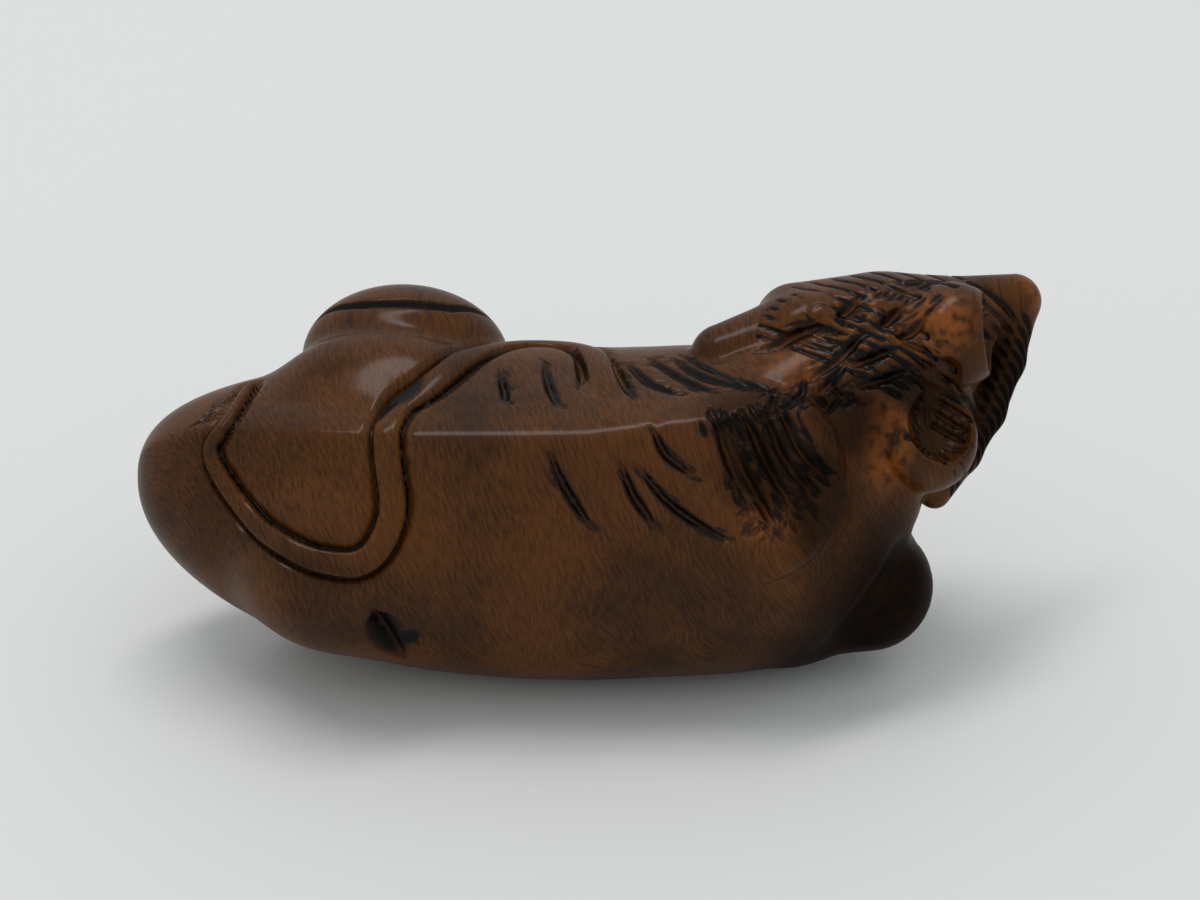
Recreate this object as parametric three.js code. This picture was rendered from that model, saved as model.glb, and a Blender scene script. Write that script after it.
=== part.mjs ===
// Netsuke: a crouching tiger carved from one piece of stained boxwood, lying on its right flank.
// Millimetres, +Z up. The whole carving is one closed solid.
//
// The animal is described in its own axes: x runs forward along the spine, y to its left, z out of
// its back. Rounded lumps and tapered limbs are blended into one smooth form, the carver's cuts are
// pressed into it, the surface is meshed, and the animal is rolled onto its flank.
import * as THREE from 'three';

// ---------------------------------------------------------------- driving dimensions (mm, degrees)
const RUMP_LENGTH = 30.2; // from the middle of the back to the tip of the rump
const CHEST_LENGTH = 21.5; // from the middle of the back to the breast
const GIRTH_RADIUS = 9.5; // radius of the trunk at the spine and the belly
const FLANK_SWELL = 1.7; // extra radius at the flanks
const SPINE_HEIGHT = 2.6; // how far the spine stands up as a ridge
const SPINE_SPREAD = 0.38; // how quickly the ridge falls away to each side, in radians
const SPINE_LEAN = [0.05, 0.3, 0.2]; // its lean to the left, in radians: everywhere, towards rump, breast
const ROLL = 40; // the lie of the animal on its right flank
const REST_CUT = 0.5; // depth of the flats worn under the flank and the folded limbs

const HEAD_AT = [19.3, 7.2, 3.6];
const HEAD_PITCH = 45; // the face looks down over the fore paws
const HEAD_YAW = -17;

const TAIL_HALF_WIDTH = [0.55, 1.05]; // at its root, and along the rest
const TAIL_RAISE = 0.25;
const TAIL_GROOVE = 0.5; // depth of the cut along each side
const TAIL_GROOVE_REACH = 0.7; // half its width

const CORD_HOLE_RADIUS = 1.6;
const CORD_BEND_RADIUS = 4.2; // the cord's way through is a half ring, open at the belly
const CORD_AT = [1.0, 0.6, -9.8];

const GRID = 0.42; // cell size of the first, even mesh
const TRIANGLES = 8000; // what it is thinned to
const SHORTEST_EDGE = 0.12; // shorter ones are joined whatever their shape adds
const TINY_EDGE = 0.03; // and these even if a triangle turns

// ---------------------------------------------------------------- small vector helpers
const vec = (x, y, z) => new THREE.Vector3(x, y, z);
const rad = THREE.MathUtils.degToRad;
const clamp = THREE.MathUtils.clamp;
const turned = (rx, ry, rz) =>
  new THREE.Quaternion().setFromEuler(new THREE.Euler(rad(rx), rad(ry), rad(rz), 'ZYX'));
const ease = (t) => t * t * (3 - 2 * t);

// ---------------------------------------------------------------- forms, as distance fields
function smoothMin(a, b, k) {
  const h = Math.max(k - Math.abs(a - b), 0) / k;
  return Math.min(a, b) - (h * h * k) / 4;
}
const smoothMax = (a, b, k) => -smoothMin(-a, -b, k);

function egg(at, radii, rotation = new THREE.Quaternion()) {
  const center = vec(...at);
  const back = rotation.clone().invert();
  const q = vec(0, 0, 0);
  return (p) => {
    q.copy(p).sub(center).applyQuaternion(back);
    const k0 = Math.hypot(q.x / radii[0], q.y / radii[1], q.z / radii[2]);
    const k1 = Math.hypot(q.x / radii[0] ** 2, q.y / radii[1] ** 2, q.z / radii[2] ** 2);
    return (k0 * (k0 - 1)) / Math.max(k1, 1e-6);
  };
}

function ball(at, radius) {
  const center = at.isVector3 ? at : vec(...at);
  return (p) => p.distanceTo(center) - radius;
}

function limb(from, fromRadius, to, toRadius) {
  const a = vec(...from);
  const ab = vec(...to).sub(a);
  const q = vec(0, 0, 0);
  return (p) => {
    q.copy(p).sub(a);
    const t = clamp(q.dot(ab) / ab.lengthSq(), 0, 1);
    return q.addScaledVector(ab, -t).length() - fromRadius - (toRadius - fromRadius) * t;
  };
}

const join = (blend, ...fields) => (p) => fields.reduce((d, f) => smoothMin(d, f(p), blend), Infinity);
const carve = (field, tool, blend) => (p) => smoothMax(field(p), -tool(p), blend);

// The trunk: an egg along the spine, with a fuller flank and a spine ridge.
function trunk(p) {
  const back = Math.max(-p.x / RUMP_LENGTH, 0);
  const fore = Math.max(p.x / CHEST_LENGTH, 0);
  const y = p.y - 0.2 - 2.5 * Math.min(back, 1) ** 3 - 0.8 * Math.min(fore, 1);
  const z = p.z - 0.6 * back;
  const r = Math.hypot(y, z) + 1e-6;
  const around = Math.atan2(y, z);
  const ridge = SPINE_HEIGHT * (1 - 0.5 * Math.min(back, 1)) * (1 - 0.3 * Math.min(fore, 1));
  const [lean0, leanBack, leanFore] = SPINE_LEAN;
  const lean = lean0 + leanBack * Math.min(back, 1) ** 2 + leanFore * Math.min(fore, 1);
  const offRidge = Math.abs(around - lean);
  const radius =
    GIRTH_RADIUS + FLANK_SWELL * Math.sin(around) ** 2 + ridge * Math.exp(-offRidge / SPINE_SPREAD);
  const along = p.x < 0 ? back : fore;
  const length = p.x < 0 ? RUMP_LENGTH : CHEST_LENGTH;
  const fullness = p.x < 0 ? 2.2 : 3.2;
  const k = ((r / radius) ** fullness + along ** fullness + 1e-9) ** (1 / fullness);
  const slopeOut = (k ** (1 - fullness) * (r / radius) ** (fullness - 1)) / radius;
  const slopeAlong = (k ** (1 - fullness) * along ** (fullness - 1)) / length;
  return (k - 1) / Math.sqrt(slopeOut ** 2 + slopeAlong ** 2 + 1e-8);
}

// Haunches and shoulders are full lumps on the trunk.
const body = join(
  1.6,
  trunk,
  egg([-15.5, -3.9, 3.2], [7.5, 6.4, 6.2], turned(0, 0, 8)),
  egg([-13.2, 6.3, 3.2], [7.8, 5.5, 5.7], turned(0, 0, -6)),
  egg([-4.0, 4.9, 2.0], [9.5, 5.9, 5.6]),
  egg([10.0, -4.2, 0.3], [8.5, 5.6, 7.2], turned(0, 10, 10)),
  egg([8.5, 5.0, 1.0], [7.0, 5.4, 6.5], turned(0, 10, -10)),
);

const LEFT_HIND_TOES = [-8.4, 8.4, -8.6];
const RIGHT_HIND_TOES = [-15.6, -4.6, -4.2];
const RIGHT_FORE_PAW = [18.8, -4.1, -2.2];
const LEFT_FORE_PAW = [19.0, 4.0, -7.0];
const legs = join(
  1.0,
  egg([-12.4, 11.2, 0.4], [7.1, 5.1, 6.0], turned(0, 10, 0)), // left thigh
  limb([-8.6, 10.6, -3.4], 3.2, [-19.0, 9.2, -5.6], 2.6), // left shank, back to the hock
  limb([-19.0, 9.2, -6.2], 2.4, LEFT_HIND_TOES, 2.5),
  limb([-24.5, 0.6, -1.0], 3.6, RIGHT_HIND_TOES, 3.5),
  limb([-20.5, -3.0, -5.4], 2.6, [-11.0, -1.4, -9.9], 2.0), // right hind foot, under the belly
  limb([8.0, -4.8, -2.4], 4.7, RIGHT_FORE_PAW, 4.4),
  limb([7.0, -3.2, -7.6], 2.4, [14.5, -1.6, -9.8], 2.0), // right elbow and forearm, under the breast
  limb([10.0, 6.0, -4.0], 4.0, LEFT_FORE_PAW, 3.0),
);

// The mane on the shoulders is a thicker coat that ends in a lip before the head.
function mane(p) {
  const rise = ease(clamp((p.x - 5) / 8, 0, 1));
  return smoothMax(trunk(p) - 0.9 * rise, maneEdge(p), 0.6);
}
const maneEdge = egg([10.0, -1.0, 9.0], [6.8, 6.6, 8.0], turned(0, 0, 20));

// The head, in its own axes: forward to the muzzle, left, and up to the crown.
const headTurn = turned(0, HEAD_PITCH, HEAD_YAW);
const onHead = (forward, left, up) =>
  vec(forward, left, up).applyQuaternion(headTurn).add(vec(...HEAD_AT)).toArray();

const browLine = [
  [[29.1, 13.9, 4.0], 1.4],
  [[28.1, 10.2, 2.8], 1.35],
  [[26.7, 6.8, 2.0], 1.35],
  [[25.0, 3.9, 1.8], 1.3],
  [[23.1, 1.0, 2.0], 1.1],
];
const brow = join(
  0.6,
  ...browLine.slice(1).map(([to, toRadius], i) => limb(...browLine[i], to, toRadius)),
);
const skull = join(
  1.2,
  egg(HEAD_AT, [7.2, 7.4, 6.4], headTurn),
  egg(onHead(4.6, 0, -1.5), [4.2, 4.8, 4.2], headTurn),
  limb([9.0, 1.5, 3.0], 7.8, [15.0, 6.0, 3.4], 6.8), // neck
  egg([19.6, 11.3, 4.9], [8.2, 3.6, 4.8], turned(0, 6, 4)), // left cheek
  limb([13.8, 12.0, 5.4], 2.5, [19.5, 12.5, 5.4], 2.3), // its upper edge
  limb([19.5, 12.5, 5.4], 2.3, [28.8, 14.1, 4.3], 1.7), // and on, out to the brow
);
const ruff = join(
  0.5,
  egg([14.8, 10.4, 6.0], [4.4, 3.1, 4.0], turned(0, 0, 8)),
  limb([9.0, 9.0, 6.2], 2.2, [13.5, 10.3, 6.4], 2.8),
);
const face = join(
  0.4,
  egg(onHead(8.2, 0, 0.3), [1.3, 1.7, 1.0], headTurn), // nose
  egg(onHead(7.2, 1.8, -2.0), [2.0, 2.1, 1.8], headTurn), // lips
  egg(onHead(7.2, -1.8, -2.0), [2.0, 2.1, 1.8], headTurn),
  egg(onHead(5.8, 0, -4.4), [2.4, 2.4, 1.5], headTurn), // chin
);
// An ear is a lobe on the skull with a bowl cut out of it.
const ears = [
  {
    lobe: ball([24.0, 9.9, 7.5], 3.6),
    bowl: ball([27.9, 9.9, 8.4], 3.0),
  },
  {
    lobe: egg([21.9, 3.1, 6.0], [3.7, 3.5, 3.9]),
    bowl: join(0.6, ball([23.2, 2.9, 9.3], 2.5), limb([23.4, 3.8, 9.0], 2.0, [23.2, 6.2, 9.4], 1.2)),
  },
];
const eyes = [1, -1].map((side) => ({
  socket: ball(onHead(5.3, 2.9 * side, 1.8), 1.6),
  eyeball: ball(onHead(4.4, 2.75 * side, 1.4), 1.35),
}));

// A ring-shaped channel in the plane of the spine: two round holes at the belly, joined inside.
const cordCenter = vec(...CORD_AT);
function cordChannel(p) {
  const q = p.clone().sub(cordCenter);
  return Math.hypot(Math.hypot(q.x, q.z) - CORD_BEND_RADIUS, q.y) - CORD_HOLE_RADIUS;
}

function buildTorso() {
  let torso = join(0.9, body, legs);
  torso = join(0.3, torso, mane);
  torso = join(0.8, torso, limb([18.6, 0.6, 3.0], 3.6, [13.5, -5.2, -2.0], 4.4)); // ridge of the shoulder
  return carve(torso, limb([18.6, 3.0, 12.4], 2.2, [16.6, -5.6, 9.2], 1.9), 1.0); // behind the mane's lip
}

function buildHead() {
  let head = join(0.6, skull, brow);
  head = join(0.5, head, ruff, face);
  head = carve(head, egg([24.6, 6.2, 9.3], [2.8, 1.8, 2.6]), 1.0); // between the ears
  for (const ear of ears) head = join(0.8, head, ear.lobe);
  for (const ear of ears) head = carve(head, ear.bowl, 0.35);
  for (const { socket, eyeball } of eyes) head = join(0.15, carve(head, socket, 0.3), eyeball);
  return head;
}

const torso = buildTorso();
function buildForm() {
  const whole = join(0.5, torso, buildHead());
  const crook = limb([21.6, -5.0, 3.2], 1.9, [17.2, -10.2, 0.2], 1.6); // of the right fore leg
  return carve(carve(whole, crook, 1.2), cordChannel, 0.3);
}
const form = buildForm();

// ---------------------------------------------------------------- the carver's cuts
// A cut runs over the surface. Its places are found by going out from the inside until the form ends.
const MARCH = 0.3;
function surfacePoint(field, from, direction) {
  const at = (reach) => from.clone().addScaledVector(direction, reach);
  let inside = 0;
  while (field(at(inside + MARCH)) < 0) inside += MARCH;
  let outside = inside + MARCH;
  for (let i = 0; i < 10; i++) {
    const middle = (inside + outside) / 2;
    if (field(at(middle)) < 0) inside = middle;
    else outside = middle;
  }
  return at(inside);
}
// On the trunk: a station along the spine, and degrees round from the spine towards the left flank.
const onTrunk = (station, around) =>
  surfacePoint(torso, vec(station, 0.4, 0.6), vec(0, Math.sin(rad(around)), Math.cos(rad(around))));
// On the head: degrees from the muzzle over the crown, and degrees towards the left ear.
function onSkull(over, toLeft) {
  const direction = vec(
    Math.cos(rad(toLeft)) * Math.cos(rad(over)),
    Math.sin(rad(toLeft)),
    Math.cos(rad(toLeft)) * Math.sin(rad(over)),
  );
  return surfacePoint(form, vec(...HEAD_AT), direction.applyQuaternion(headTurn));
}

function cut(place, controls, width, depth, samples = 8) {
  const curve = new THREE.CatmullRomCurve3(controls.map(([a, b]) => vec(a, b, 0)));
  const points = curve.getPoints(samples).map((c) => place(c.x, c.y));
  const box = new THREE.Box3().setFromPoints(points).expandByScalar(width);
  return { points, width, depth, box };
}

// Distance from a point to a chain of points, and how far along it that is (0 to 1).
const nearest = { distance: 0, along: 0 };
function measure(p, points) {
  nearest.distance = Infinity;
  for (let i = 1; i < points.length; i++) {
    const a = points[i - 1];
    const b = points[i];
    const [ux, uy, uz] = [b.x - a.x, b.y - a.y, b.z - a.z];
    const [px, py, pz] = [p.x - a.x, p.y - a.y, p.z - a.z];
    const t = clamp((px * ux + py * uy + pz * uz) / (ux * ux + uy * uy + uz * uz + 1e-9), 0, 1);
    const d = Math.hypot(px - t * ux, py - t * uy, pz - t * uz);
    if (d < nearest.distance) {
      nearest.distance = d;
      nearest.along = (i - 1 + t) / (points.length - 1);
    }
  }
  return nearest;
}

const tailPath = cut(
  onTrunk,
  [
    [-22.4, 55], [-23.6, 25], [-24.6, 14], [-23.7, -5], [-21.5, -28], [-18.6, -37], [-16.3, -40],
    [-14.4, -40], [-13.1, -34], [-12.4, -21], [-12.8, -2], [-12.8, 10], [-12.0, 22], [-10.5, 30],
    [-9.0, 41], [-7.6, 54], [-5.8, 65], [-3.4, 70], [-1.2, 67], [0.3, 57], [0.9, 40], [1.5, 22],
  ],
  2.4,
  TAIL_GROOVE,
  84,
);

// Stripes on the flank, on the upper side, in the mane and on the nape, each a few control places.
const stripes = [
  [[-2.4, -3], [-1.7, -11], [-0.6, -21], [0.5, -30]],
  [[2.1, -5], [3.0, -17], [4.6, -30]],
  [[3.0, -5], [5.6, -21], [7.9, -30], [9.2, -33]],
  [[4.1, 4], [5.1, -4], [7.0, -11]],
  [[-5.7, 42], [-5.1, 20]],
  [[-2.9, 48], [-2.4, 29], [-1.7, 16]],
  [[-0.7, 60], [-0.4, 30]],
  [[1.8, 50], [2.4, 33], [3.2, 20]],
];
const maneLocks = [
  [[2.5, 47], [4.1, 31], [6.1, 23]],
  [[4.0, 51], [5.8, 36], [8.4, 22]],
  [[5.6, 50], [7.6, 34], [10.6, 22]],
  [[6.1, 53], [9.1, 32], [12.7, 20]],
  [[7.9, 14], [9.1, -5], [10.4, -22]],
  [[9.4, 10], [11.0, -8], [12.3, -25]],
  [[11.2, 14], [12.8, -3], [14.2, -16]],
];
const napeLocks = [
  [[166, 14], [159, 28]],
  [[142, 17], [133, 33]],
  [[131, 13], [120, 26]],
  [[190, -7], [181, 0], [169, 9]],
  [[167, -20], [157, -4], [150, 10]],
  [[153, -12], [142, -3], [130, 8]],
  [[147, -22], [132, -13], [116, 1]],
];
const mouth = [
  [[-3, 0], [-16, 0]], // the parting of the lips
  [[-16, 0], [-24, 14], [-36, 30]],
  [[-16, 0], [-24, -14], [-36, -30]],
];
const kneeFold = [[-19.2, 84], [-16.6, 72], [-14.2, 67], [-11.2, 67], [-8.6, 72], [-6.3, 86]];
const footNotch = [[-13.6, -58], [-13.0, -68], [-12.2, -88]];

const cuts = [
  ...stripes.map((c) => cut(onTrunk, c, 0.75, 0.45)),
  ...maneLocks.map((c) => cut(onTrunk, c, 0.75, 0.5)),
  ...napeLocks.map((c) => cut(onSkull, c, 0.8, 0.5)),
  ...mouth.map((c) => cut(onSkull, c, 0.7, 0.5)),
  cut(onTrunk, kneeFold, 0.7, 0.5),
  cut(onTrunk, footNotch, 1.5, 1.0),
];

// Toes: cuts that fan over the end of a paw, between the two sides given in degrees.
function toes(paw, forward, down, spread) {
  const axis = vec(...forward).normalize();
  const under = vec(...down).normalize();
  const side = axis.clone().cross(under);
  return [-spread, 0, spread].map((sideways) => {
    const place = (bend) =>
      surfacePoint(
        form,
        vec(...paw),
        axis.clone().multiplyScalar(Math.cos(rad(bend)))
          .addScaledVector(under, Math.sin(rad(bend)))
          .addScaledVector(side, Math.sin(rad(sideways)))
          .normalize(),
      );
    return cut(place, [[-45, 0], [25, 0]], 0.7, 0.45);
  });
}
cuts.push(
  ...toes(LEFT_HIND_TOES, [1, 0, -0.2], [0, -0.2, -1], 32),
  ...toes(RIGHT_FORE_PAW, [0.5, 0.7, -0.6], [-0.3, 0.1, -1], 24),
  ...toes(LEFT_FORE_PAW, [1, 0, -0.2], [0, 0, -1], 30),
);

// How far the carving moves the surface at a point: outwards is positive.
function relief(p) {
  let lift = 0;
  if (tailPath.box.containsPoint(p)) {
    const { distance, along } = measure(p, tailPath.points);
    const half = TAIL_HALF_WIDTH[0] + (TAIL_HALF_WIDTH[1] - TAIL_HALF_WIDTH[0]) * clamp(along * 3, 0, 1);
    const offCut = Math.abs(distance - half - TAIL_GROOVE_REACH / 2) / TAIL_GROOVE_REACH;
    if (distance < half) lift += TAIL_RAISE * (1 - (distance / half) ** 2);
    if (offCut < 1) lift -= TAIL_GROOVE * (1 - offCut ** 2) ** 2;
  }
  let deepest = 0;
  for (const { points, width, depth, box } of cuts) {
    if (!box.containsPoint(p)) continue;
    const { distance, along } = measure(p, points);
    const taper = Math.sin(Math.PI * clamp(along, 0.04, 0.96)) ** 0.4;
    const across = distance / (width * taper);
    if (across < 1) deepest = Math.max(deepest, depth * taper * (1 - across ** 2));
  }
  return lift - deepest;
}

// ---------------------------------------------------------------- meshing
const spaced = (from, to, step) =>
  Array.from({ length: Math.ceil((to - from) / step) + 1 }, (_, i) => from + i * step);

// A grid cell has 8 corners, numbered by the bits x + 2y + 4z, 12 edges and 6 faces.
const others = (axis) => [(axis + 1) % 3, (axis + 2) % 3];
const cellEdges = []; // edge axis * 4 + v * 2 + u runs along the axis, at u and v across it
const cellFaces = []; // each face as its corners in turn, with the edges before and after each
for (let axis = 0; axis < 3; axis++) {
  const [u, v] = others(axis);
  for (let i = 0; i < 4; i++) {
    const start = ((i & 1) << u) | ((i >> 1) << v);
    cellEdges.push([start, start | (1 << axis)]);
  }
}
const edgeBetween = (a, b) => cellEdges.findIndex((edge) => edge.includes(a) && edge.includes(b));
for (let axis = 0; axis < 3; axis++)
  for (const side of [0, 1 << axis]) {
    const [u, v] = others(axis).map((d) => 1 << d);
    const ring = [side, side | u, side | u | v, side | v];
    cellFaces.push(
      ring.map((corner, i) => ({
        corner,
        before: edgeBetween(ring[(i + 3) % 4], corner),
        after: edgeBetween(corner, ring[(i + 1) % 4]),
      })),
    );
  }

// Groups a cell's crossed edges into the closed loops that the surface draws on the cell's faces.
function loopsOf(inside) {
  const crossed = cellEdges.map(([a, b]) => inside[a] !== inside[b]);
  const loop = cellEdges.map((_, i) => i);
  const merge = (a, b) => {
    const [from, to] = [loop[a], loop[b]];
    loop.forEach((id, i) => {
      if (id === from) loop[i] = to;
    });
  };
  for (const face of cellFaces) {
    const hits = face.filter(({ after }) => crossed[after]);
    if (hits.length === 2) merge(hits[0].after, hits[1].after);
    if (hits.length === 4)
      for (const { corner, before, after } of face) if (inside[corner]) merge(before, after);
  }
  return loop;
}

// One vertex for each loop in each cell, and one quad for each grid edge that the surface crosses.
function skin(field, xs, ys, zs) {
  const axes = [xs, ys, zs];
  const count = axes.map((a) => a.length);
  const key = (i, j, k) => (i * count[1] + j) * count[2] + k;
  const values = new Float32Array(count[0] * count[1] * count[2]);
  const p = vec(0, 0, 0);
  xs.forEach((x, i) => ys.forEach((y, j) => zs.forEach((z, k) => {
    values[key(i, j, k)] = field(p.set(x, y, z));
  })));

  const points = [];
  const hits = [];
  const loops = new Map(); // cell -> the loop of each of its edges
  const vertices = new Map(); // cell and loop -> vertex
  function vertexOf(cell, edge, crossing) {
    const id = key(...cell);
    if (!loops.has(id)) {
      const inside = Array.from({ length: 8 }, (_, c) =>
        values[key(cell[0] + (c & 1), cell[1] + ((c >> 1) & 1), cell[2] + (c >> 2))] < 0);
      loops.set(id, loopsOf(inside));
    }
    const name = id * 12 + loops.get(id)[edge];
    if (!vertices.has(name)) {
      vertices.set(name, points.push(vec(0, 0, 0)) - 1);
      hits.push(0);
    }
    const index = vertices.get(name);
    points[index].add(crossing);
    hits[index] += 1;
    return index;
  }

  const quads = [];
  for (let i = 1; i < count[0] - 1; i++)
    for (let j = 1; j < count[1] - 1; j++)
      for (let k = 1; k < count[2] - 1; k++)
        for (let axis = 0; axis < 3; axis++) {
          const here = [i, j, k];
          const next = [...here];
          next[axis] += 1;
          const [a, b] = [values[key(...here)], values[key(...next)]];
          if (a < 0 === b < 0) continue;
          const crossing = vec(...here.map((n, d) => axes[d][n]));
          const step = axes[axis][next[axis]] - axes[axis][here[axis]];
          crossing.setComponent(axis, crossing.getComponent(axis) + (step * a) / (a - b));
          const [u, v] = others(axis);
          const corners = [[0, 0], [1, 0], [1, 1], [0, 1]].map(([du, dv]) => {
            const cell = [...here];
            cell[u] -= du;
            cell[v] -= dv;
            return vertexOf(cell, axis * 4 + dv * 2 + du, crossing);
          });
          quads.push(a < 0 ? corners : corners.reverse());
        }
  points.forEach((point, i) => point.divideScalar(hits[i]));
  return { points, quads };
}

const TAPS = [vec(1, -1, -1), vec(-1, -1, 1), vec(-1, 1, -1), vec(1, 1, 1)];
const TAP_REACH = 0.03;
function slope(field, p, out) {
  out.set(0, 0, 0);
  for (const tap of TAPS) out.addScaledVector(tap, field(p.clone().addScaledVector(tap, TAP_REACH)));
  return out.divideScalar(4 * TAP_REACH);
}
// Moves a point onto the surface along the slope of the field.
function settle(field, p, steps = 4) {
  const g = vec(0, 0, 0);
  for (let i = 0; i < steps; i++) {
    slope(field, p, g);
    const move = clamp(field(p) / Math.max(g.length(), 0.2), -0.4, 0.4);
    p.addScaledVector(g.normalize(), -move);
  }
  return p;
}

// Brings a point onto the form and then presses the carving into it, or raises it.
function carveInto(p) {
  settle(form, p);
  const outwards = slope(form, p, vec(0, 0, 0)).normalize();
  p.addScaledVector(outwards, relief(p));
}

function splitQuads(points, quads) {
  const triangles = [];
  for (const [a, b, c, d] of quads) {
    if (points[a].distanceTo(points[c]) < points[b].distanceTo(points[d]))
      triangles.push([a, b, c], [a, c, d]);
    else triangles.push([b, c, d], [b, d, a]);
  }
  return triangles;
}

// The squared distance to the planes of a vertex's triangles, weighted by their area, as the ten
// numbers of a symmetric 4 x 4 matrix.
function planeQuadric(normal, offset, weight) {
  const plane = [normal.x, normal.y, normal.z, offset];
  const quadric = [];
  for (let i = 0; i < 4; i++) for (let j = i; j < 4; j++) quadric.push(plane[i] * plane[j] * weight);
  return quadric;
}
function planeError(p, q, r) {
  const [xx, xy, xz, xw, yy, yz, yw, zz, zw, ww] = q.map((value, i) => value + r[i]);
  return (
    p.x * (xx * p.x + 2 * (xy * p.y + xz * p.z + xw)) +
    p.y * (yy * p.y + 2 * (yz * p.z + yw)) +
    p.z * (zz * p.z + 2 * zw) + ww
  );
}
// The point where the error is least, if there is a single one.
function leastError(q, r) {
  const [xx, xy, xz, xw, yy, yz, yw, zz, zw] = q.map((value, i) => value + r[i]);
  const matrix = new THREE.Matrix3().set(xx, xy, xz, xy, yy, yz, xz, yz, zz);
  if (Math.abs(matrix.determinant()) < 1e-4 * (xx + yy + zz) ** 3) return null;
  return vec(-xw, -yw, -zw).applyMatrix3(matrix.invert());
}
const normalOf = (a, b, c) => b.clone().sub(a).cross(c.clone().sub(a));

// Joins the ends of the edges that matter least until few enough triangles are left.
function thin(points, triangles, most) {
  const around = points.map(() => new Set()); // the triangles at each vertex
  const quadrics = points.map(() => new Array(10).fill(0));
  triangles.forEach((triangle, index) => {
    const normal = normalOf(...triangle.map((v) => points[v]));
    const area = normal.length() / 2;
    normal.normalize();
    const quadric = planeQuadric(normal, -normal.dot(points[triangle[0]]), area);
    for (const v of triangle) {
      around[v].add(index);
      quadric.forEach((value, i) => (quadrics[v][i] += value));
    }
  });
  const neighbours = (v) => new Set([...around[v]].flatMap((t) => triangles[t]));
  // A triangle may not turn over, or shrink to a sliver, when its vertex moves.
  const keepsShape = (v, other, place) =>
    [...around[v]].every((t) => {
      const triangle = triangles[t];
      if (triangle.includes(other)) return true;
      const corners = triangle.map((c) => points[c]);
      const moved = triangle.map((c) => (c === v ? place : points[c]));
      const before = normalOf(...corners);
      const after = normalOf(...moved);
      const longest = Math.max(...moved.map((p, i) => p.distanceToSquared(moved[(i + 1) % 3])));
      return before.dot(after) > 0.3 * before.length() * after.length() && after.length() > 0.06 * longest;
    });

  let left = triangles.length;
  for (let limit = 1e-6; left > most && limit < 1; limit *= 1.6)
    for (let t = 0; t < triangles.length && left > most; t++)
      for (let side = 0; side < 3 && triangles[t]; side++) {
        const [a, b] = [triangles[t][side], triangles[t][(side + 1) % 3]];
        const middle = points[a].clone().add(points[b]).multiplyScalar(0.5);
        const length = points[a].distanceTo(points[b]);
        let places = [middle, points[a].clone(), points[b].clone()];
        const sharp = leastError(quadrics[a], quadrics[b]);
        if (sharp && sharp.distanceTo(middle) < length && sharp.z > 0) places.push(sharp);
        if (points[a].z === 0 || points[b].z === 0) places = places.filter((p) => p.z === 0);
        const errors = places.map((p) => planeError(p, quadrics[a], quadrics[b]));
        const best = errors.indexOf(Math.min(...errors));
        if (errors[best] > limit && length > SHORTEST_EDGE) continue;
        const ring = neighbours(b);
        const shared = [...neighbours(a)].filter((v) => ring.has(v) && v !== a && v !== b);
        if (shared.length !== 2) continue;
        const tiny = length < TINY_EDGE;
        if (!tiny && !(keepsShape(a, b, places[best]) && keepsShape(b, a, places[best]))) continue;
        points[a].copy(places[best]);
        quadrics[b].forEach((value, i) => (quadrics[a][i] += value));
        for (const index of around[b]) {
          if (triangles[index].includes(a)) {
            for (const v of triangles[index]) if (v !== b) around[v].delete(index);
            triangles[index] = null;
            left -= 1;
          } else {
            triangles[index] = triangles[index].map((v) => (v === b ? a : v));
            around[a].add(index);
          }
        }
        around[b].clear();
      }
  return triangles.filter(Boolean);
}

// Rolls the animal onto its flank, stands it on the table and wears it flat there.
function layDown(points) {
  const axis = vec(1, 0, 0);
  for (const p of points) p.applyAxisAngle(axis, rad(ROLL));
  const lowest = Math.min(...points.map((p) => p.z));
  for (const p of points) p.z = Math.max(p.z - lowest - REST_CUT, 0);
}

function animalGeometry() {
  const { points, quads } = skin(form, spaced(-32, 33, GRID), spaced(-14, 19, GRID), spaced(-13, 15, GRID));
  points.forEach(carveInto);
  layDown(points);
  const triangles = thin(points, splitQuads(points, quads), TRIANGLES);
  const used = [...new Set(triangles.flat())];
  const renumbered = new Map(used.map((v, i) => [v, i]));
  const geometry = new THREE.BufferGeometry().setFromPoints(used.map((v) => points[v]));
  geometry.setIndex(triangles.flat().map((v) => renumbered.get(v)));
  geometry.computeBoundingBox();
  const middle = geometry.boundingBox.getCenter(vec(0, 0, 0));
  geometry.translate(-middle.x, -middle.y, 0); // the origin is under the middle of the box
  geometry.computeVertexNormals();
  return geometry;
}

const boxwood = new THREE.MeshStandardMaterial({ color: 0x3f2411, roughness: 0.38, metalness: 0 });
const tiger = new THREE.Mesh(animalGeometry(), boxwood);
tiger.name = 'carved_tiger';

const netsuke = new THREE.Group();
netsuke.add(tiger);

export default netsuke;
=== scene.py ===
# A carved boxwood tiger netsuke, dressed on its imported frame.
import math

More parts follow.
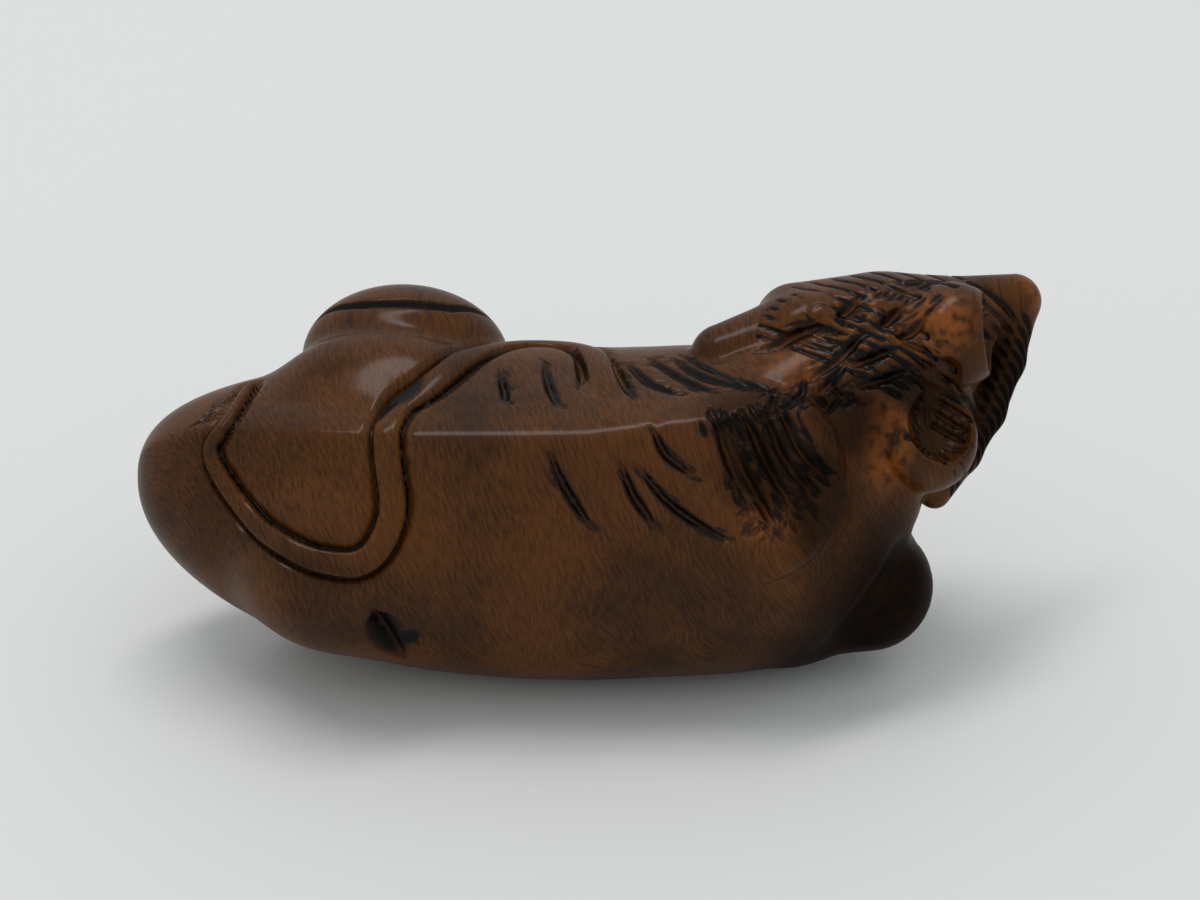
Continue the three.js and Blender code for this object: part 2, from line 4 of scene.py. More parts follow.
import bpy
import numpy as np
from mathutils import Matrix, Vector


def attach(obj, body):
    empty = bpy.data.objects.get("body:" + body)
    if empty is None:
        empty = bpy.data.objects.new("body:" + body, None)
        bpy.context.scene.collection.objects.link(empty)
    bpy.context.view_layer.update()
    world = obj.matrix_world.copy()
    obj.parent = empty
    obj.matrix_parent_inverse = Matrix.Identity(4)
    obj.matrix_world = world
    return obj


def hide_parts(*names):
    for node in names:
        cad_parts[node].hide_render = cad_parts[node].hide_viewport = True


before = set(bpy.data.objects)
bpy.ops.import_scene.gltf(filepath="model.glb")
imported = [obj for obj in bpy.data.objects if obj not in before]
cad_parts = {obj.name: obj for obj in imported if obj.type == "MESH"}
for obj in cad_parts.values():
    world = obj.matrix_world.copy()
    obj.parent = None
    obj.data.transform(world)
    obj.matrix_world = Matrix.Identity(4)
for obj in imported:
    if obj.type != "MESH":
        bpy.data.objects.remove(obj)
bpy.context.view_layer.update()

# ---------------------------------------------------------------- sizes (mm, degrees)
MM = 0.001
RUMP_LENGTH = 30.2
CHEST_LENGTH = 21.5
GIRTH_RADIUS = 9.5
FLANK_SWELL = 1.7
RUMP_FULLNESS = 2.2  # 2 is an ellipsoid's end, and more is blunter
CHEST_FULLNESS = 3.2
TRUNK_OFFSET = 0.2
RUMP_SWAY = 2.5  # how far the rump curls to the left
CHEST_SWAY = 0.8
RUMP_LIFT = 0.6
SPINE_HEIGHT = 2.6
SPINE_SPREAD = 0.38
SPINE_LEAN = (0.05, 0.3, 0.2)  # at the middle, and more at the rump and at the chest, in radians
SPINE_CREST = 0.07  # how far it is rounded, in radians
MIDLINE = (0.4, 0.6)  # y and z of the line that places on the trunk are seen from
MM_PER_DEGREE = 0.19  # on the trunk, about that line
ROLL = 40.0
REST_CUT = 0.5

HEAD_AT = (19.3, 7.2, 3.6)
HEAD_PITCH = 45.0
HEAD_YAW = -17.0
RIGHT_BOWL_AT = (23.2, 2.9, 9.3)
LEFT_BOWL_AT = (27.9, 9.9, 8.4)

TAIL_HALF_WIDTH = (0.5, 1.0)  # at the root, and from a third of the way on
TAIL_WIDENING = 3
TAIL_FADING = 12  # the band sinks in over the last twelfth
TAIL_RAISE = 0.25
TAIL_GROOVE = 0.55
TAIL_GROOVE_INNER = 0.25  # how far a cut reaches under the tail's own edge
TAIL_GROOVE_OUTER = 0.8  # how far it slopes away from the tail
TAIL_REACH = 2.6
TAIL_SAMPLES = 110

CUT_REACH = 1.6  # how far a cut is looked for, in its own widths
CUT_PROFILE = 1.2  # 1 is a V, and more is a sharper groove
CUT_CROSSING = 0.25  # share of the shallower cut that is added where two cross
STAIN_CORE = 1.25
STAIN_SPREAD = 1.15
STROKE_ENDS = (0.03, 0.97)  # keeps the taper of a stroke above nothing

TUFTS = 17
TUFT_START = 0.15  # in joints of the brow line
TUFT_STEP = 0.215

CORD_HOLE_RADIUS = 1.6
CORD_BEND_RADIUS = 4.2
CORD_AT = (1.0, 0.6, -9.8)

GRID_LOW = (-31.5, -13.5, -13.0)
GRID_HIGH = (32.0, 19.0, 15.0)
GRID = 0.5  # first, even mesh, split in four twice afterwards
SPLITS = 2
FACES = 190000  # triangles kept
FLATTEST_SLOPE = 0.2
LONGEST_MOVE = 0.4

# ---------------------------------------------------------------- colours, light and camera
FIBRE_DARK, FIBRE_LIGHT = "341b05", "59320d"
DEEP_BROWN, WARM_BROWN = "1b0b02", "6e3f10"
WORN_AMBER = "8e4f1a"
# black for grime and for painted shade in hollows and on the shadowed right shoulder
GRIME_AND_SHADE_BLACK = "0b0806"
CUT_BLACK = "040302"
FLOOR_WHITE = "e3e4e0"
BUMP_HEIGHT = 0.00006  # metres

FLOOR_HALF = 1.5  # metres, as are the places and sizes of the lights
ROOM_TINT = (0.86, 0.9, 0.93, 1.0)
ROOM_STRENGTH = 0.7
LIGHT_AIM = (0, 0, 0.012)
LIGHTS = (  # name, place, size, power in watts, tint
    ("window", (-0.2, 0.55, 0.7), (1.5, 0.9), 0.6, (0.96, 0.98, 1.0)),
    ("overhead", (-0.1, 0.12, 0.75), (0.6, 0.16), 1.9, (1.0, 0.96, 0.98)),
)
CAMERA_ELEVATION = 28.0
CAMERA_DISTANCE = 200
CAMERA_TARGET = (0.608, -1.554, 15.12)
CAMERA_LENS = 90.5

rng = np.random.default_rng(7)


# ---------------------------------------------------------------- forms, as distance fields
def vec(*values):
    return np.array(values, np.float32)


def rotation(rx=0.0, ry=0.0, rz=0.0):
    cx, cy, cz = (math.cos(math.radians(a)) for a in (rx, ry, rz))
    sx, sy, sz = (math.sin(math.radians(a)) for a in (rx, ry, rz))
    about_x = np.array([[1, 0, 0], [0, cx, -sx], [0, sx, cx]])
    about_y = np.array([[cy, 0, sy], [0, 1, 0], [-sy, 0, cy]])
    about_z = np.array([[cz, -sz, 0], [sz, cz, 0], [0, 0, 1]])
    return (about_z @ about_y @ about_x).astype(np.float32)


def smooth_min(a, b, k):
    h = np.maximum(k - np.abs(a - b), 0) / k
    return np.minimum(a, b) - h * h * (k / 4)


def smooth_max(a, b, k):
    return -smooth_min(-a, -b, k)


def length(v):
    return np.sqrt(np.einsum("...i,...i->...", v, v))


def unit(v):
    return v / np.maximum(length(v), 1e-9)[..., None]


def egg(at, radii, turn=None):
    center = vec(*at)
    r = vec(*radii)

    def field(p):
        q = p - center
        if turn is not None:
            q = q @ turn
        k0 = length(q / r)
        return k0 * (k0 - 1) / np.maximum(length(q / (r * r)), 1e-6)

    return field


def ball(at, radius):
    center = vec(*at)
    return lambda p: length(p - center) - radius


def limb(a, a_radius, b, b_radius):
    start = vec(*a)
    run = vec(*b) - start

    def field(p):
        q = p - start
        t = np.clip(q @ run / (run @ run), 0, 1)
        return length(q - t[..., None] * run) - (a_radius + (b_radius - a_radius) * t)

    return field


def join(blend, *fields):
    def field(p):
        d = fields[0](p)
        for other in fields[1:]:
            d = smooth_min(d, other(p), blend)
        return d

    return field


def carve(field, tool, blend):
    return lambda p: smooth_max(field(p), -tool(p), blend)


def trunk(p):
    x, y, z = p[..., 0], p[..., 1], p[..., 2]
    back = np.maximum(-x / RUMP_LENGTH, 0)
    fore = np.maximum(x / CHEST_LENGTH, 0)
    near_back = np.minimum(back, 1)
    near_fore = np.minimum(fore, 1)
    side = y - TRUNK_OFFSET - RUMP_SWAY * near_back**3 - CHEST_SWAY * near_fore
    up = z - RUMP_LIFT * back
    r = np.hypot(side, up) + 1e-6
    around = np.arctan2(side, up)
    ridge = SPINE_HEIGHT * (1 - 0.5 * near_back) * (1 - 0.3 * near_fore)
    lean = SPINE_LEAN[0] + SPINE_LEAN[1] * near_back**2 + SPINE_LEAN[2] * near_fore
    crest = np.exp((SPINE_CREST - np.hypot(around - lean, SPINE_CREST)) / SPINE_SPREAD)
    radius = GIRTH_RADIUS + FLANK_SWELL * np.sin(around) ** 2 + ridge * crest
    behind = x < 0
    along = np.where(behind, back, fore)
    reach = np.where(behind, RUMP_LENGTH, CHEST_LENGTH)
    n = np.where(behind, RUMP_FULLNESS, CHEST_FULLNESS)
    k = ((r / radius) ** n + along**n + 1e-9) ** (1 / n)
    slope_out = k ** (1 - n) * (r / radius) ** (n - 1) / radius
    slope_along = k ** (1 - n) * along ** (n - 1) / reach
    return (k - 1) / np.sqrt(slope_out**2 + slope_along**2 + 1e-8)


LEFT_HIND_TOES = (-8.4, 8.4, -8.6)
RIGHT_HIND_TOES = (-15.6, -4.6, -4.2)
RIGHT_FORE_PAW = (18.8, -4.1, -2.2)
LEFT_FORE_PAW = (19.0, 4.0, -7.0)
body = join(
    1.6,
    trunk,
    egg((-15.5, -3.9, 3.2), (7.5, 6.4, 6.2), rotation(0, 0, 8)),
    egg((-13.2, 6.3, 3.2), (7.8, 5.5, 5.7), rotation(0, 0, -6)),
    egg((-4.0, 4.9, 2.0), (9.5, 5.9, 5.6)),
    egg((10.0, -4.2, 0.3), (8.5, 5.6, 7.2), rotation(0, 10, 10)),
    egg((8.5, 5.0, 1.0), (7.0, 5.4, 6.5), rotation(0, 10, -10)),
)
legs = join(
    1.0,
    egg((-12.4, 11.2, 0.4), (7.1, 5.1, 6.0), rotation(0, 10, 0)),
    limb((-8.6, 10.6, -3.4), 3.2, (-19.0, 9.2, -5.6), 2.6),
    limb((-19.0, 9.2, -6.2), 2.4, LEFT_HIND_TOES, 2.5),
    limb((-24.5, 0.6, -1.0), 3.6, RIGHT_HIND_TOES, 3.5),
    limb((-20.5, -3.0, -5.4), 2.6, (-11.0, -1.4, -9.9), 2.0),
    limb((8.0, -4.8, -2.4), 4.7, RIGHT_FORE_PAW, 4.4),
    limb((7.0, -3.2, -7.6), 2.4, (14.5, -1.6, -9.8), 2.0),
    limb((10.0, 6.0, -4.0), 4.0, LEFT_FORE_PAW, 3.0),
)
mane_edge = egg((10.0, -1.0, 9.0), (6.8, 6.6, 8.0), rotation(0, 0, 20))


def ease(t):
    return t * t * (3 - 2 * t)


def mane(p):
    rise = ease(np.clip((p[..., 0] - 5) / 8, 0, 1))
    return smooth_max(trunk(p) - 0.9 * rise, mane_edge(p), 0.6)


head_turn = rotation(0, HEAD_PITCH, HEAD_YAW)


def on_head(forward, left, up):
    return tuple(vec(*HEAD_AT) + head_turn @ vec(forward, left, up))


BROW_LINE = (
    ((29.1, 13.9, 4.0), 1.4),
    ((28.1, 10.2, 2.8), 1.35),
    ((26.7, 6.8, 2.0), 1.35),
    ((25.0, 3.9, 1.8), 1.3),
    ((23.1, 1.0, 2.0), 1.1),
)
brow = join(0.6, *(limb(*start, *end) for start, end in zip(BROW_LINE, BROW_LINE[1:])))
skull = join(
    1.2,
    egg(HEAD_AT, (7.2, 7.4, 6.4), head_turn),
    egg(on_head(4.6, 0, -1.5), (4.2, 4.8, 4.2), head_turn),
    limb((9.0, 1.5, 3.0), 7.8, (15.0, 6.0, 3.4), 6.8),
    egg((19.6, 11.3, 4.9), (8.2, 3.6, 4.8), rotation(0, 6, 4)),
    limb((13.8, 12.0, 5.4), 2.5, (19.5, 12.5, 5.4), 2.3),
    limb((19.5, 12.5, 5.4), 2.3, (28.8, 14.1, 4.3), 1.7),
)
ruff = join(
    0.5,
    egg((14.8, 10.4, 6.0), (4.4, 3.1, 4.0), rotation(0, 0, 8)),
    limb((9.0, 9.0, 6.2), 2.2, (13.5, 10.3, 6.4), 2.8),
)
face = join(
    0.4,
    egg(on_head(8.2, 0, 0.3), (1.3, 1.7, 1.0), head_turn),
    egg(on_head(7.2, 1.8, -2.0), (2.0, 2.1, 1.8), head_turn),
    egg(on_head(7.2, -1.8, -2.0), (2.0, 2.1, 1.8), head_turn),
    egg(on_head(5.8, 0, -4.4), (2.4, 2.4, 1.5), head_turn),
)
EARS = (  # a lobe on the skull, and the bowl that is cut out of it
    (
        ball((24.0, 9.9, 7.5), 3.6),
        ball(LEFT_BOWL_AT, 3.0),
    ),
    (
        egg((21.9, 3.1, 6.0), (3.7, 3.5, 3.9)),
        join(0.6, ball(RIGHT_BOWL_AT, 2.5), limb((23.4, 3.8, 9.0), 2.0, (23.2, 6.2, 9.4), 1.2)),
    ),
)


def build_torso():
    whole = join(0.9, body, legs)
    whole = join(0.3, whole, mane)
    whole = join(0.8, whole, limb((18.6, 0.6, 3.0), 3.6, (13.5, -5.2, -2.0), 4.4))
    return carve(whole, limb((18.6, 3.0, 12.4), 2.2, (16.6, -5.6, 9.2), 1.9), 1.0)


def build_head():
    head = join(0.6, skull, brow)
    head = join(0.5, head, ruff, face)
    head = carve(head, egg((24.6, 6.2, 9.3), (2.8, 1.8, 2.6)), 1.0)
    for lobe, _ in EARS:
        head = join(0.8, head, lobe)
    for _, bowl in EARS:
        head = carve(head, bowl, 0.35)
    for side in (1, -1):
        socket = ball(on_head(5.3, 2.9 * side, 1.8), 1.6)
        eyeball = ball(on_head(4.4, 2.75 * side, 1.4), 1.35)
        head = join(0.15, carve(head, socket, 0.3), eyeball)
    return head


def cord_channel(p):
    q = p - vec(*CORD_AT)
    return np.hypot(np.hypot(q[..., 0], q[..., 2]) - CORD_BEND_RADIUS, q[..., 1]) - CORD_HOLE_RADIUS


torso = build_torso()
crook = limb((21.6, -5.0, 3.2), 1.9, (17.2, -10.2, 0.2), 1.6)
form = carve(carve(join(0.5, torso, build_head()), crook, 1.2), cord_channel, 0.3)


# ---------------------------------------------------------------- mesh of the form
def sample_grid(field, low, high, step):
    axes = [np.arange(a, b + step, step, dtype=np.float32) for a, b in zip(low, high)]
    shape = tuple(len(a) for a in axes)
    slabs = []
    for x in axes[0]:
        slab = np.stack(np.meshgrid([x], axes[1], axes[2], indexing="ij"), -1).reshape(-1, 3)
        slabs.append(field(slab.astype(np.float32)))
    return np.concatenate(slabs).reshape(shape)


def surface_net(values, low, step):
    cells = np.array(values.shape) - 1
    total = np.zeros((*cells, 3), np.float32)
    hits = np.zeros(cells, np.int32)
    found = []
    for axis in range(3):
        first = [slice(None)] * 3
        second = [slice(None)] * 3
        first[axis] = slice(0, -1)
        second[axis] = slice(1, None)
        a, b = values[tuple(first)], values[tuple(second)]
        u, v = (axis + 1) % 3, (axis + 2) % 3
        at = np.argwhere((a < 0) != (b < 0))
        at = at[(at[:, u] > 0) & (at[:, v] > 0) & (at[:, u] < cells[u]) & (at[:, v] < cells[v])]
        fa, fb = a[tuple(at.T)], b[tuple(at.T)]
        crossing = at.astype(np.float32)
        crossing[:, axis] += fa / (fa - fb)
        ring = []
        for du, dv in ((0, 0), (1, 0), (1, 1), (0, 1)):
            cell = at.copy()
            cell[:, u] -= du
            cell[:, v] -= dv
            np.add.at(total, tuple(cell.T), crossing)
            np.add.at(hits, tuple(cell.T), 1)
            ring.append(cell)
        found.append((ring, fa < 0))
    used = np.argwhere(hits > 0)
    index = np.full(tuple(cells), -1, np.int64)
    index[tuple(used.T)] = np.arange(len(used))
    points = total[tuple(used.T)] / hits[tuple(used.T)][:, None] * step + np.asarray(low, np.float32)
    quads = []
    for ring, outward in found:
        quad = np.stack([index[tuple(c.T)] for c in ring], 1)
        quad[~outward] = quad[~outward][:, ::-1]
        quads.append(quad)
    return points.astype(np.float32), np.concatenate(quads)


TAPS = np.array([[1, -1, -1], [-1, -1, 1], [-1, 1, -1], [1, 1, 1]], np.float32)


def slope(field, p, reach=0.03):
    return sum(tap * field(p + reach * tap)[:, None] for tap in TAPS) / (4 * reach)


def settle(field, p, steps):
    for _ in range(steps):
        g = slope(field, p)
        size = np.maximum(length(g), FLATTEST_SLOPE)
        move = np.clip(field(p) / size, -LONGEST_MOVE, LONGEST_MOVE)
        p = p - unit(g) * move[:, None]
    return p


def split_in_four(points, quads):
    sides = np.concatenate([quads[:, [i, (i + 1) % 4]] for i in range(4)])
    key, place = np.unique(np.sort(sides, 1), axis=0, return_inverse=True)
    place = place.reshape(4, -1).T + len(points)
    middle = np.arange(len(quads)) + len(points) + len(key)
    more = np.concatenate([points, points[key].mean(1), points[quads].mean(1)]).astype(np.float32)
    parts = [np.stack([quads[:, i], place[:, i], middle, place[:, (i + 3) % 4]], 1) for i in range(4)]
    return more, np.concatenate(parts)


# ---------------------------------------------------------------- places on the surface
def surface_points(field, start, directions, farthest=30.0, march=0.3):
    steps = np.arange(march, farthest, march, dtype=np.float32)
    at = start[:, None] + directions[:, None] * steps[None, :, None]
    outside = field(at.reshape(-1, 3)).reshape(at.shape[:2]) >= 0
    first = outside.argmax(1)
    high = steps[first]
    low = high - march
    for _ in range(10):
        middle = (low + high) / 2
        inside = field(start + directions * middle[:, None]) < 0
        low = np.where(inside, middle, low)
        high = np.where(inside, high, middle)
    return start + directions * low[:, None]


def on_trunk(controls):
    """Places given as a station along the spine and degrees round from the spine to the left."""
    station, around = np.asarray(controls, np.float32).T
    a = np.radians(around)
    y, z = MIDLINE
    start = np.stack([station, np.full_like(station, y), np.full_like(station, z)], 1)
    out = np.stack([0 * a, np.sin(a), np.cos(a)], 1)
    return surface_points(torso, start, out.astype(np.float32))


def on_skull(controls):
    """Places given as degrees from the muzzle over the crown, and degrees towards the left ear."""
    over, left = np.radians(np.asarray(controls, np.float32)).T
    d = np.stack([np.cos(left) * np.cos(over), np.sin(left), np.cos(left) * np.sin(over)], 1)
    start = np.repeat(vec(*HEAD_AT)[None], len(d), 0)
    return surface_points(form, start, (d @ head_turn.T).astype(np.float32))


def on_brow(controls):
    """Places given as a joint's number along the brow and degrees round it from the crown side."""
    t, around = np.asarray(controls, np.float32).T
    line = np.array([at for at, _ in BROW_LINE], np.float32)
    i = np.minimum(t.astype(int), len(line) - 2)
    start = line[i] + (line[i + 1] - line[i]) * (t - i)[:, None]
    axis = unit(line[-1] - line[0])
    up = unit(np.cross(axis, vec(0.9, -0.4, 0.2)))
    out = np.cross(up, axis)
    a = np.radians(around)[:, None]
    return surface_points(form, start, (up * np.cos(a) + out * np.sin(a)).astype(np.float32))


def in_bowl(center, axis):
    """Places inside an ear's bowl: degrees off the axis that points into it, and degrees round it."""
    axis = unit(vec(*axis))
    up = unit(np.cross(axis, vec(0, 1, 0)))
    side = np.cross(axis, up)

    def place(controls):
        off, turn = np.radians(np.asarray(controls, np.float32)).T[:, :, None]
        d = axis * np.cos(off) + (up * np.cos(turn) + side * np.sin(turn)) * np.sin(off)
        start = np.repeat(vec(*center)[None], len(d), 0)
        return surface_points(lambda p: -form(p), start, d.astype(np.float32), farthest=6.0)

    return place


def curve_through(controls, samples):
    """A smooth curve through the control points."""
    c = np.asarray(controls, np.float64)
    c = np.concatenate([[2 * c[0] - c[1]], c, [2 * c[-1] - c[-2]]])
    t = np.linspace(0, len(controls) - 1, samples)
    i = np.minimum(t.astype(int), len(controls) - 2)
    u = (t - i)[:, None]
    a, b, d, e = c[i], c[i + 1], c[i + 2], c[i + 3]
    bow = 2 * a - 5 * b + 4 * d - e
    twist = 3 * b - a - 3 * d + e
    return 0.5 * (2 * b + (d - a) * u + bow * u**2 + twist * u**3)


# Strokes are kept as control curves first and looked up on the surface all together.
strokes = []


def stroke(place, controls, width, depth, stain=1.0, samples=9, blunt=0.4):
    """A cut along a curve, width and depth in mm; a negative depth raises a lock instead."""
    path = curve_through(controls, samples)
    strokes.append(dict(place=place, path=path, width=width, depth=depth, stain=stain, blunt=blunt))


# How many mm a step of 1 is, in each of the two numbers of a place.
MM_EACH = {on_trunk: (1.0, MM_PER_DEGREE), on_skull: (0.13, 0.13), on_brow: (3.6, 0.025)}
HAIR_SAMPLES = 40


def hairs(place, controls, count, size, lean, width, depth, stain=0.8, across=0.3, jitter=12.0):
    """Short strokes laid along a curve, leaning off it, as a feather's barbs."""
    unit_mm = np.array(MM_EACH[place])
    path = curve_through(controls, HAIR_SAMPLES) * unit_mm
    for i in range(count):
        k = int((i + rng.uniform(0.1, 0.9)) / count * (HAIR_SAMPLES - 2))
        tangent = path[k + 1] - path[k]
        tangent /= np.hypot(*tangent) + 1e-9
        side = np.array([-tangent[1], tangent[0]])
        a = math.radians(lean + rng.normal(0, jitter))
        way = tangent * math.cos(a) + side * math.sin(a)
        at = path[k] + side * rng.normal(0, across)
        long = size * rng.uniform(0.7, 1.3)
        tip = at + way * long * 0.65 + side * rng.normal(0, 0.05)
        bends = [at - way * long * 0.35, at + way * long * 0.2, tip]
        wide = width * rng.uniform(0.8, 1.2)
        stroke(place, [b / unit_mm for b in bends], wide, depth, stain, samples=4, blunt=0.7)


# Places on the trunk: station along the spine (mm), degrees round it to the left.
TAIL = [
    (-22.4, 55), (-23.6, 25), (-24.6, 14), (-23.7, -5), (-21.5, -28), (-18.6, -37), (-16.3, -40),
    (-14.4, -40), (-13.1, -34), (-12.4, -21), (-12.8, -2), (-12.8, 10), (-12.0, 22), (-10.5, 30),
    (-9.0, 41), (-7.6, 54), (-5.8, 65), (-3.4, 70), (-1.2, 67), (0.3, 57), (0.9, 40), (1.5, 22),
]
STRIPES = [
    [(-2.4, -2), (-1.7, -11), (-0.6, -21), (0.5, -30)],
    [(2.1, -5), (3.0, -17), (4.6, -30)],
    [(3.0, -5), (4.2, -13), (5.6, -21), (7.9, -30), (9.2, -33)],
    [(4.1, 6), (5.1, -3), (7.0, -10)],
    [(-5.7, 42), (-5.4, 29), (-5.1, 20)],
    [(-2.9, 48), (-2.4, 29), (-1.7, 16)],
    [(-0.7, 60), (-0.4, 41), (-0.4, 30)],
    [(1.6, 55), (2.4, 33), (3.2, 20)],
]
MANE_TOP = [
    [(2.5, 47), (4.1, 31), (6.1, 23)],
    [(4.0, 51), (5.8, 36), (8.4, 22)],
    [(5.6, 50), (7.6, 34), (10.6, 22)],
    [(6.1, 53), (9.1, 32), (11.1, 24), (12.7, 20)],
    [(7.6, 48), (10.7, 34), (13.1, 28), (14.5, 20)],
]
MANE_FAN = [
    [(7.9, 14), (9.1, -5), (10.5, -22)],
    [(8.6, 7), (10.2, -11), (11.9, -27)],
    [(9.8, 12), (11.6, -7), (13.2, -21)],
    [(10.9, 15), (12.7, -4), (14.3, -15)],
    [(12.0, 17), (13.5, 1), (15.1, -8)],
]
KNEE_FOLD = [(-19.2, 84), (-16.6, 72), (-14.2, 67), (-11.2, 67), (-8.6, 72), (-6.3, 86)]
FOOT_NOTCH = [(-13.6, -58), (-13.0, -68), (-12.2, -88)]
# painted shade deepening the end of the foot's notch, over a shallow cut
FOOT_NOTCH_SHADE = [(-12.2, -70), (-11.2, -76)]
TAIL_SHADE = [(-13.6, 8), (-12.9, 20), (-11.6, 28), (-10.2, 37)]
FAN_TIPS = [(9.6, -24), (11.6, -30), (13.4, -26), (14.6, -19)]
TAIL_ROOT_HAIRS = [(-25.4, 32), (-24.3, 42), (-23.2, 55)]

# Places on the skull: degrees from the muzzle over the crown, degrees towards the left ear.
NAPE = [
    [(166, 14), (159, 28)],
    [(142, 17), (133, 33)],
    [(131, 13), (120, 26)],
    [(191, -7), (181, 0), (169, 9)],
    [(167, -20), (159, -10), (154, 1), (150, 10)],
    [(153, -12), (142, -3), (130, 8)],
    [(147, -22), (132, -13), (114, 2)],
    [(162, -26), (157, -17), (153, -6)],
]
MOUTH = [
    [(-3, 0), (-16, 0)],
    [(-16, 0), (-24, 14), (-36, 30)],
    [(-16, 0), (-24, -14), (-36, -30)],
]
COLLAR = [  # crossed cuts in the hollow between the mane and the nape
    [(176, -24), (170, -33)],
    [(170, -20), (167, -31)],
    [(164, -27), (157, -33)],
    [(173, -36), (163, -27)],
    [(160, -22), (150, -28)],
    [(157, -36), (151, -26)],
    [(150, -33), (142, -26)],
    [(178, -30), (168, -38)],
]
NAPE_LEAVES = [  # polished locks that stand up between the cuts
    [(171, 6), (163, 19)],
    [(161, 0), (152, 16)],
    [(150, -6), (141, 10)],
    [(152, 14), (143, 26)],
    [(141, -13), (128, 0)],
    [(139, 4), (129, 16)],
    [(160, -20), (150, -12)],
    [(175, 8), (170, 20)],
]
CHEEK = [  # short slanting cuts on the plane of the cheek
    [(151, 32), (147, 37)],
    [(147, 34), (143, 39)],
    [(143, 33), (138, 40)],
    [(138, 35), (133, 41)],
    [(133, 34), (128, 40)],
    [(127, 32), (122, 37)],
    [(121, 31), (116, 36)],
]
BROW_EDGE = [  # long cuts along the upper edge, out to the knob
    [(141, 46), (126, 53), (104, 58)],
    [(130, 45), (116, 51), (98, 56)],
]
CHEEK_LINE = [(178, 5), (165, 12), (153, 21), (141, 24), (128, 22), (116, 18)]


def cut_coat():
    for controls in STRIPES:
        stroke(on_trunk, controls, width=0.5, depth=0.42, blunt=0.5)
        hairs(on_trunk, controls, 14, size=1.2, lean=8, width=0.2, depth=0.18, across=0.2)
    for controls in MANE_TOP:
        stroke(on_trunk, controls, width=0.5, depth=0.4)
        hairs(on_trunk, controls, 8, size=1.5, lean=5, width=0.2, depth=0.16)
        hairs(on_trunk, controls, 16, 1.1, lean=42, width=0.15, depth=0.09, stain=0.45, across=0.45)
    for controls in MANE_FAN:
        stroke(on_trunk, controls, width=0.6, depth=0.55, blunt=0.35)
        hairs(on_trunk, controls, 26, 1.8, lean=4, width=0.26, depth=0.22, stain=1.0, across=0.45)
    hairs(on_trunk, FAN_TIPS, 22, size=1.5, lean=78, width=0.22, depth=0.22, across=0.4)


def cut_nape_and_cheek():
    for controls in NAPE:
        stroke(on_skull, controls, width=0.6, depth=0.55, blunt=0.45)
        hairs(on_skull, controls, 9, size=1.6, lean=10, width=0.2, depth=0.2, across=0.35)
    for controls in COLLAR:
        stroke(on_skull, controls, width=0.4, depth=0.32, blunt=0.5)
        hairs(on_skull, controls, 5, 1.1, lean=25, width=0.17, depth=0.13, across=0.5, jitter=35)
    for controls in NAPE_LEAVES:
        stroke(on_skull, controls, width=0.85, depth=-0.28, stain=0.0, blunt=0.7)
        hairs(on_skull, controls, 5, size=0.9, lean=12, width=0.14, depth=0.09, stain=0.5)
    for controls in CHEEK:
        stroke(on_skull, controls, width=0.28, depth=0.2, stain=0.75)
    for controls in BROW_EDGE:
        stroke(on_skull, controls, width=0.42, depth=0.4)
        hairs(on_skull, controls, 14, size=1.6, lean=12, width=0.16, depth=0.13, across=0.25)
    hairs(on_skull, CHEEK_LINE, 22, 1.5, lean=36, width=0.17, depth=0.16, across=0.4, jitter=14)


def cut_brow_tufts():
    """Tufts that overlap along the brow."""
    for i in range(TUFTS):
        t = TUFT_START + i * TUFT_STEP
        stroke(on_brow, [(t, -64), (t + 0.12, -20), (t + 0.3, 22)], width=0.3, depth=0.3)
        stroke(on_brow, [(t + 0.08, 20), (t + 0.2, 60), (t + 0.42, 96)], width=0.3, depth=0.26)
        root = [(t, -50), (t + 0.28, 20)]
        hairs(on_brow, root, 3, 0.8, lean=4, width=0.14, depth=0.1, stain=0.5, across=0.25)


def cut_ear_bowls():
    for center, axis in ((RIGHT_BOWL_AT, (-0.25, -0.1, -1)), (LEFT_BOWL_AT, (-1, 0.05, -0.3))):
        for turn in range(0, 360, 20):
            bent = turn + rng.uniform(-14, 14)
            ray = [(16, turn), (36, bent), (58, bent)]
            stroke(in_bowl(center, axis), ray, width=0.13, depth=0.08, stain=0.7)


def cut_mouth_and_folds():
    for controls in MOUTH:
        stroke(on_skull, controls, width=0.5, depth=0.45)
    stroke(on_trunk, TAIL_SHADE, width=1.0, depth=0.22, stain=0.75, blunt=0.8)
    stroke(on_trunk, KNEE_FOLD, width=0.5, depth=0.45)
    stroke(on_trunk, FOOT_NOTCH, width=1.3, depth=1.0)
    # painted shade at the notch's end, with a shallow cut
    stroke(on_trunk, FOOT_NOTCH_SHADE, width=1.2, depth=0.3, stain=0.9)
    hairs(on_trunk, TAIL_ROOT_HAIRS, 18, size=2.0, lean=-20, width=0.25, depth=0.22)


def cut_toes(paw, forward, down, spread):
    axis, under = unit(vec(*forward)), unit(vec(*down))
    side = np.cross(axis, under)

    def place(controls):
        bend, sideways = np.radians(np.asarray(controls, np.float32)).T[:, :, None]
        d = axis * np.cos(bend) + under * np.sin(bend) + side * np.sin(sideways)
        return surface_points(form, np.repeat(vec(*paw)[None], len(d), 0), unit(d))

    for sideways in (-spread, 0, spread):
        stroke(place, [(-45, sideways), (25, sideways)], width=0.6, depth=0.45)


# The random draws depend on this order.
cut_coat()
cut_nape_and_cheek()
cut_brow_tufts()
cut_ear_bowls()
cut_mouth_and_folds()
cut_toes(LEFT_HIND_TOES, (1, 0, -0.2), (0, -0.2, -1), 32)
cut_toes(RIGHT_FORE_PAW, (0.5, 0.7, -0.6), (-0.3, 0.1, -1), 24)
cut_toes(LEFT_FORE_PAW, (1, 0, -0.2), (0, 0, -1), 30)


